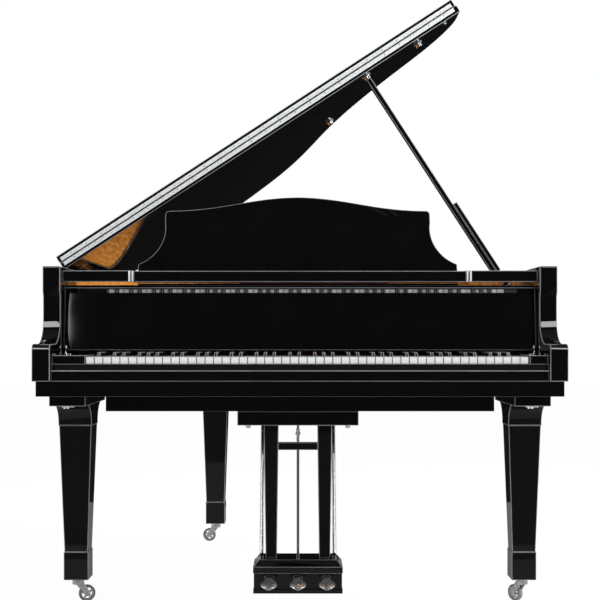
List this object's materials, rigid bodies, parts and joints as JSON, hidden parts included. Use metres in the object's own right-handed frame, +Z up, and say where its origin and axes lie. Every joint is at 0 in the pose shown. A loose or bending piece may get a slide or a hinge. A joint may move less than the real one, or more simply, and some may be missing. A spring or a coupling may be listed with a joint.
{
  "type": "grand piano",
  "caption": "Black lacquered baby grand piano with propped lid, keyboard, music desk, strung iron plate, pedal lyre, tapered legs and casters.",
  "frame": {"origin": "on the floor, under the middle of the box round the whole piano with its lid open", "axes": "+Z up, +X to the treble side, +Y from the player towards the tail"},
  "size_m": [1.4989, 1.5464, 1.8318],
  "materials": {
    "black_lacquer": "polished black lacquer over wood",
    "maple_veneer": "clear gloss over figured veneer",
    "case_timber": "planed hardwood",
    "spruce": "varnished softwood",
    "gilded_iron": "bronze paint on cast iron",
    "string_steel": "drawn wire",
    "wound_copper": "copper winding",
    "white_keytop": "polished",
    "black_keytop": "satin",
    "chrome_fittings": "polished",
    "caster_metal": "grey enamel",
    "caster_tyre": "matt",
    "damper_wood": "black stain, felt under"
  },
  "bodies": {
    "case": {"outer_rim": "black_lacquer", "bass_arm": "black_lacquer", "treble_arm": "black_lacquer", "keyslip": "black_lacquer", "bass_key_block": "black_lacquer", "treble_key_block": "black_lacquer", "music_shelves": "black_lacquer", "bass_front_leg": "black_lacquer", "treble_front_leg": "black_lacquer", "rear_leg": "black_lacquer", "lyre_head": "black_lacquer", "lyre_posts": "black_lacquer", "pedal_box": "black_lacquer", "keybed": "black_lacquer", "rim_lining": "maple_veneer", "inner_rim": "case_timber", "stretcher": "case_timber", "belly_rail": "case_timber", "frame_posts": "case_timber", "under_beams": "case_timber", "pin_block": "case_timber", "bridges": "case_timber", "soundboard": "spruce", "soundboard_ribs": "spruce", "iron_plate": "gilded_iron", "plain_strings": "string_steel", "tuning_pins": "string_steel", "wound_strings": "wound_copper", "case_fittings": "chrome_fittings", "lyre_braces": "chrome_fittings"},
    "lid": {"main_lid": "black_lacquer", "main_hinge_leaf": "chrome_fittings", "lid_hinge_lid_leaves": "chrome_fittings", "lid_prop_cups": "chrome_fittings"},
    "lid_flap": {"front_lid": "black_lacquer", "front_hinge_leaf": "chrome_fittings"},
    "prop": {"prop_stick": "black_lacquer"},
    "short_stick": {"short_prop": "black_lacquer"},
    "fallboard": {"fallboard": "black_lacquer"},
    "tray": {"music_tray": "black_lacquer"},
    "desk": {"music_desk": "black_lacquer"},
    "desk_strut": {"desk_struts": "black_lacquer"},
    "soft_pedal": {"soft_pedal": "chrome_fittings"},
    "sostenuto_pedal": {"sostenuto_pedal": "chrome_fittings"},
    "damper_pedal": {"damper_pedal": "chrome_fittings"},
    "soft_rod": {"soft_rod": "chrome_fittings"},
    "sostenuto_rod": {"sostenuto_rod": "chrome_fittings"},
    "damper_rod": {"damper_rod": "chrome_fittings"},
    "dampers": {"damper_heads": "damper_wood"},
    "key_frame": {"key_frame": "case_timber"},
    "bass_naturals": {"bass_naturals": "white_keytop"},
    "treble_naturals": {"treble_naturals": "white_keytop"},
    "bass_sharps": {"bass_sharps": "black_keytop"},
    "treble_sharps": {"treble_sharps": "black_keytop"},
    "bass_front_swivel": {"bass_front_caster_fork": "caster_metal"},
    "bass_front_wheel": {"bass_front_caster_wheel": "caster_tyre"},
    "treble_front_swivel": {"treble_front_caster_fork": "caster_metal"},
    "treble_front_wheel": {"treble_front_caster_wheel": "caster_tyre"},
    "rear_swivel": {"rear_caster_fork": "caster_metal"},
    "rear_wheel": {"rear_caster_wheel": "caster_tyre"}
  },
  "joints": [
    {"name": "lid_hinge", "type": "hinge", "parent": "case", "child": "lid", "pos_m": [-0.73128, 0, 0.984], "axis": [0, -1, 0], "range_deg": [0, 12]},
    {"name": "flap_hinge", "type": "hinge", "parent": "lid", "child": "lid_flap", "pos_m": [-0.744, -0.3439, 1.00352], "axis": [0.8377, 0, 0.5461], "range_deg": [0, 180]},
    {"name": "prop_swing", "type": "hinge", "parent": "case", "child": "prop", "pos_m": [0.66772, -0.283, 0.92181], "axis": [0.8377, 0, 0.5461], "range_deg": [0, 48]},
    {"name": "short_prop_swing", "type": "hinge", "parent": "prop", "child": "short_stick", "pos_m": [0.63599, -0.283, 0.98468], "axis": [0, 1, 0], "range_deg": [0, 35]},
    {"name": "fallboard_hinge", "type": "hinge", "parent": "case", "child": "fallboard", "pos_m": [0.01272, -0.583, 0.741], "axis": [1, 0, 0], "range_deg": [0, 95]},
    {"name": "tray_slide", "type": "slide", "parent": "case", "child": "tray", "axis": [0, 1, 0], "range_m": [0, 0.1]},
    {"name": "desk_hinge", "type": "hinge", "parent": "tray", "child": "desk", "pos_m": [0.01272, -0.53361, 0.96291], "axis": [-1, 0, 0], "range_deg": [0, 65]},
    {"name": "strut_hinge", "type": "hinge", "parent": "tray", "child": "desk_strut", "pos_m": [0.01272, -0.46361, 0.9675], "axis": [-1, 0, 0], "range_deg": [0, 123.5]},
    {"name": "key_shift", "type": "slide", "parent": "case", "child": "key_frame", "axis": [1, 0, 0], "range_m": [0, 0.0025]},
    {"name": "damper_lift", "type": "slide", "parent": "case", "child": "dampers", "axis": [0, 0, 1], "range_m": [0, 0.004]},
    {"name": "soft_pedal_tread", "type": "hinge", "parent": "case", "child": "soft_pedal", "pos_m": [-0.07528, -0.558, 0.084], "axis": [1, 0, 0], "range_deg": [0, 5], "stiffness_Nm_per_rad": 30, "springref_deg": -5.73},
    {"name": "soft_rod_lift", "type": "slide", "parent": "case", "child": "soft_rod", "axis": [0, 0, 1], "range_m": [0, 0.0034]},
    {"name": "sostenuto_pedal_tread", "type": "hinge", "parent": "case", "child": "sostenuto_pedal", "pos_m": [0.00672, -0.558, 0.084], "axis": [1, 0, 0], "range_deg": [0, 5], "stiffness_Nm_per_rad": 30, "springref_deg": -5.73},
    {"name": "sostenuto_rod_lift", "type": "slide", "parent": "case", "child": "sostenuto_rod", "axis": [0, 0, 1], "range_m": [0, 0.0034]},
    {"name": "damper_pedal_tread", "type": "hinge", "parent": "case", "child": "damper_pedal", "pos_m": [0.08872, -0.558, 0.084], "axis": [1, 0, 0], "range_deg": [0, 5], "stiffness_Nm_per_rad": 30, "springref_deg": -5.73},
    {"name": "damper_rod_lift", "type": "slide", "parent": "case", "child": "damper_rod", "axis": [0, 0, 1], "range_m": [0, 0.0034]},
    {"name": "bass_naturals_press", "type": "hinge", "parent": "key_frame", "child": "bass_naturals", "pos_m": [0.01272, -0.5882, 0.7045], "axis": [1, 0, 0], "range_deg": [0, 3.7], "stiffness_Nm_per_rad": 40, "springref_deg": -5.73},
    {"name": "treble_naturals_press", "type": "hinge", "parent": "key_frame", "child": "treble_naturals", "pos_m": [0.01272, -0.5882, 0.7045], "axis": [1, 0, 0], "range_deg": [0, 3.7], "stiffness_Nm_per_rad": 40, "springref_deg": -5.73},
    {"name": "bass_sharps_press", "type": "hinge", "parent": "key_frame", "child": "bass_sharps", "pos_m": [0.01272, -0.5882, 0.7045], "axis": [1, 0, 0], "range_deg": [0, 3.7], "stiffness_Nm_per_rad": 40, "springref_deg": -5.73},
    {"name": "treble_sharps_press", "type": "hinge", "parent": "key_frame", "child": "treble_sharps", "pos_m": [0.01272, -0.5882, 0.7045], "axis": [1, 0, 0], "range_deg": [0, 3.7], "stiffness_Nm_per_rad": 40, "springref_deg": -5.73},
    {"name": "bass_front_caster_swivel", "type": "hinge", "parent": "case", "child": "bass_front_swivel", "pos_m": [-0.63928, -0.545, 0], "axis": [0, 0, 1], "continuous": true},
    {"name": "bass_front_wheel_roll", "type": "hinge", "parent": "bass_front_swivel", "child": "bass_front_wheel", "pos_m": [-0.6157, -0.534, 0.024], "axis": [-0.4226, 0.9063, 0], "continuous": true},
    {"name": "treble_front_caster_swivel", "type": "hinge", "parent": "case", "child": "treble_front_swivel", "pos_m": [0.66472, -0.545, 0], "axis": [0, 0, 1], "continuous": true},
    {"name": "treble_front_wheel_roll", "type": "hinge", "parent": "treble_front_swivel", "child": "treble_front_wheel", "pos_m": [0.64981, -0.5237, 0.024], "axis": [-0.8192, -0.5736, 0], "continuous": true},
    {"name": "rear_caster_swivel", "type": "hinge", "parent": "case", "child": "rear_swivel", "pos_m": [-0.30728, 0.452, 0], "axis": [0, 0, 1], "continuous": true},
    {"name": "rear_wheel_roll", "type": "hinge", "parent": "rear_swivel", "child": "rear_wheel", "pos_m": [-0.33239, 0.45873, 0.024], "axis": [-0.2588, -0.9659, 0], "continuous": true}
  ],
  "couplings": [
    {"joint": "strut_hinge", "follows": "desk_hinge", "ratio": 1.9},
    {"joint": "key_shift", "follows": "soft_pedal_tread", "m_per_rad": 0.0286},
    {"joint": "damper_lift", "follows": "damper_pedal_tread", "m_per_rad": 0.0458},
    {"joint": "soft_rod_lift", "follows": "soft_pedal_tread", "m_per_rad": 0.038},
    {"joint": "sostenuto_rod_lift", "follows": "sostenuto_pedal_tread", "m_per_rad": 0.038},
    {"joint": "damper_rod_lift", "follows": "damper_pedal_tread", "m_per_rad": 0.038}
  ]
}
